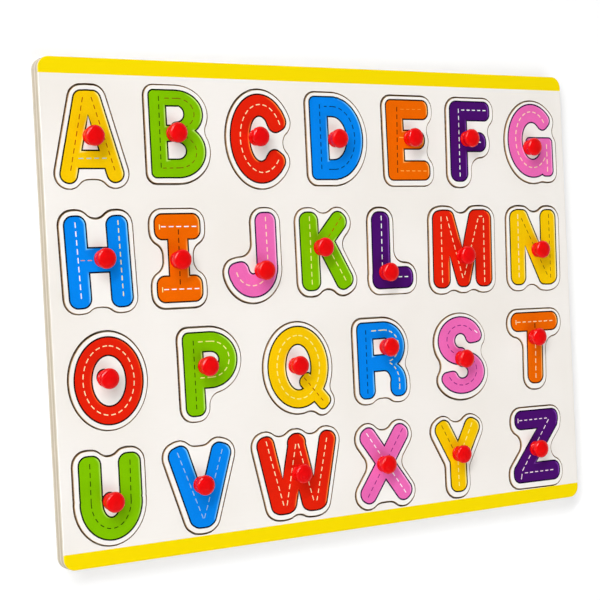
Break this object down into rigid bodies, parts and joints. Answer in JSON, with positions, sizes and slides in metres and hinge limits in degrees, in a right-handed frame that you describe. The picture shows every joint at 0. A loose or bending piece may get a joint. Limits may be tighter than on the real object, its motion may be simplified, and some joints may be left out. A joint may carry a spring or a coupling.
{
  "type": "alphabet knob puzzle",
  "caption": "Flat wooden alphabet puzzle: a printed board with letter-shaped pockets, loose letter tiles and a red knob on each tile to lift it out by",
  "frame": {"origin": "Under the middle of the board, on the flat back that it lies on.", "axes": "+X along the rows of letters (reading direction), +Y up the page, +Z out of the printed face."},
  "size_m": [0.3, 0.225, 0.0149],
  "materials": {
    "plywood": "bare sanded plywood",
    "printed_board": "plywood with a printed white face and yellow bands under clear varnish",
    "printed_yellow": "plywood tile with a yellow letter printed on white under clear varnish",
    "printed_green": "plywood tile with a green letter printed on white under clear varnish",
    "printed_red": "plywood tile with a red letter printed on white under clear varnish",
    "printed_blue": "plywood tile with a blue letter printed on white under clear varnish",
    "printed_orange": "plywood tile with a orange letter printed on white under clear varnish",
    "printed_purple": "plywood tile with a purple letter printed on white under clear varnish",
    "printed_pink": "plywood tile with a pink letter printed on white under clear varnish",
    "knob_plastic": "glossy red moulded plastic"
  },
  "bodies": {
    "board": {"backing_board": "plywood", "frame_board": "printed_board"},
    "letter_a": {"tile_a": "printed_yellow", "knob_a": "knob_plastic"},
    "letter_b": {"tile_b": "printed_green", "knob_b": "knob_plastic"},
    "letter_c": {"tile_c": "printed_red", "knob_c": "knob_plastic"},
    "letter_d": {"tile_d": "printed_blue", "knob_d": "knob_plastic"},
    "letter_e": {"tile_e": "printed_orange", "knob_e": "knob_plastic"},
    "letter_f": {"tile_f": "printed_purple", "knob_f": "knob_plastic"},
    "letter_g": {"tile_g": "printed_pink", "knob_g": "knob_plastic"},
    "letter_h": {"tile_h": "printed_blue", "knob_h": "knob_plastic"},
    "letter_i": {"tile_i": "printed_orange", "knob_i": "knob_plastic"},
    "letter_j": {"tile_j": "printed_pink", "knob_j": "knob_plastic"},
    "letter_k": {"tile_k": "printed_green", "knob_k": "knob_plastic"},
    "letter_l": {"tile_l": "printed_purple", "knob_l": "knob_plastic"},
    "letter_m": {"tile_m": "printed_red", "knob_m": "knob_plastic"},
    "letter_n": {"tile_n": "printed_yellow", "knob_n": "knob_plastic"},
    "letter_o": {"tile_o": "printed_red", "knob_o": "knob_plastic"},
    "letter_p": {"tile_p": "printed_green", "knob_p": "knob_plastic"},
    "letter_q": {"tile_q": "printed_yellow", "knob_q": "knob_plastic"},
    "letter_r": {"tile_r": "printed_blue", "knob_r": "knob_plastic"},
    "letter_s": {"tile_s": "printed_pink", "knob_s": "knob_plastic"},
    "letter_t": {"tile_t": "printed_orange", "knob_t": "knob_plastic"},
    "letter_u": {"tile_u": "printed_green", "knob_u": "knob_plastic"},
    "letter_v": {"tile_v": "printed_blue", "knob_v": "knob_plastic"},
    "letter_w": {"tile_w": "printed_red", "knob_w": "knob_plastic"},
    "letter_x": {"tile_x": "printed_pink", "knob_x": "knob_plastic"},
    "letter_y": {"tile_y": "printed_yellow", "knob_y": "knob_plastic"},
    "letter_z": {"tile_z": "printed_purple", "knob_z": "knob_plastic"}
  },
  "joints": [
    {"name": "lift_a", "type": "slide", "parent": "board", "child": "letter_a", "axis": [0, 0, 1], "range_m": [0, 0.03]},
    {"name": "lift_b", "type": "slide", "parent": "board", "child": "letter_b", "axis": [0, 0, 1], "range_m": [0, 0.03]},
    {"name": "lift_c", "type": "slide", "parent": "board", "child": "letter_c", "axis": [0, 0, 1], "range_m": [0, 0.03]},
    {"name": "lift_d", "type": "slide", "parent": "board", "child": "letter_d", "axis": [0, 0, 1], "range_m": [0, 0.03]},
    {"name": "lift_e", "type": "slide", "parent": "board", "child": "letter_e", "axis": [0, 0, 1], "range_m": [0, 0.03]},
    {"name": "lift_f", "type": "slide", "parent": "board", "child": "letter_f", "axis": [0, 0, 1], "range_m": [0, 0.03]},
    {"name": "lift_g", "type": "slide", "parent": "board", "child": "letter_g", "axis": [0, 0, 1], "range_m": [0, 0.03]},
    {"name": "lift_h", "type": "slide", "parent": "board", "child": "letter_h", "axis": [0, 0, 1], "range_m": [0, 0.03]},
    {"name": "lift_i", "type": "slide", "parent": "board", "child": "letter_i", "axis": [0, 0, 1], "range_m": [0, 0.03]},
    {"name": "lift_j", "type": "slide", "parent": "board", "child": "letter_j", "axis": [0, 0, 1], "range_m": [0, 0.03]},
    {"name": "lift_k", "type": "slide", "parent": "board", "child": "letter_k", "axis": [0, 0, 1], "range_m": [0, 0.03]},
    {"name": "lift_l", "type": "slide", "parent": "board", "child": "letter_l", "axis": [0, 0, 1], "range_m": [0, 0.03]},
    {"name": "lift_m", "type": "slide", "parent": "board", "child": "letter_m", "axis": [0, 0, 1], "range_m": [0, 0.03]},
    {"name": "lift_n", "type": "slide", "parent": "board", "child": "letter_n", "axis": [0, 0, 1], "range_m": [0, 0.03]},
    {"name": "lift_o", "type": "slide", "parent": "board", "child": "letter_o", "axis": [0, 0, 1], "range_m": [0, 0.03]},
    {"name": "lift_p", "type": "slide", "parent": "board", "child": "letter_p", "axis": [0, 0, 1], "range_m": [0, 0.03]},
    {"name": "lift_q", "type": "slide", "parent": "board", "child": "letter_q", "axis": [0, 0, 1], "range_m": [0, 0.03]},
    {"name": "lift_r", "type": "slide", "parent": "board", "child": "letter_r", "axis": [0, 0, 1], "range_m": [0, 0.03]},
    {"name": "lift_s", "type": "slide", "parent": "board", "child": "letter_s", "axis": [0, 0, 1], "range_m": [0, 0.03]},
    {"name": "lift_t", "type": "slide", "parent": "board", "child": "letter_t", "axis": [0, 0, 1], "range_m": [0, 0.03]},
    {"name": "lift_u", "type": "slide", "parent": "board", "child": "letter_u", "axis": [0, 0, 1], "range_m": [0, 0.03]},
    {"name": "lift_v", "type": "slide", "parent": "board", "child": "letter_v", "axis": [0, 0, 1], "range_m": [0, 0.03]},
    {"name": "lift_w", "type": "slide", "parent": "board", "child": "letter_w", "axis": [0, 0, 1], "range_m": [0, 0.03]},
    {"name": "lift_x", "type": "slide", "parent": "board", "child": "letter_x", "axis": [0, 0, 1], "range_m": [0, 0.03]},
    {"name": "lift_y", "type": "slide", "parent": "board", "child": "letter_y", "axis": [0, 0, 1], "range_m": [0, 0.03]},
    {"name": "lift_z", "type": "slide", "parent": "board", "child": "letter_z", "axis": [0, 0, 1], "range_m": [0, 0.03]}
  ]
}
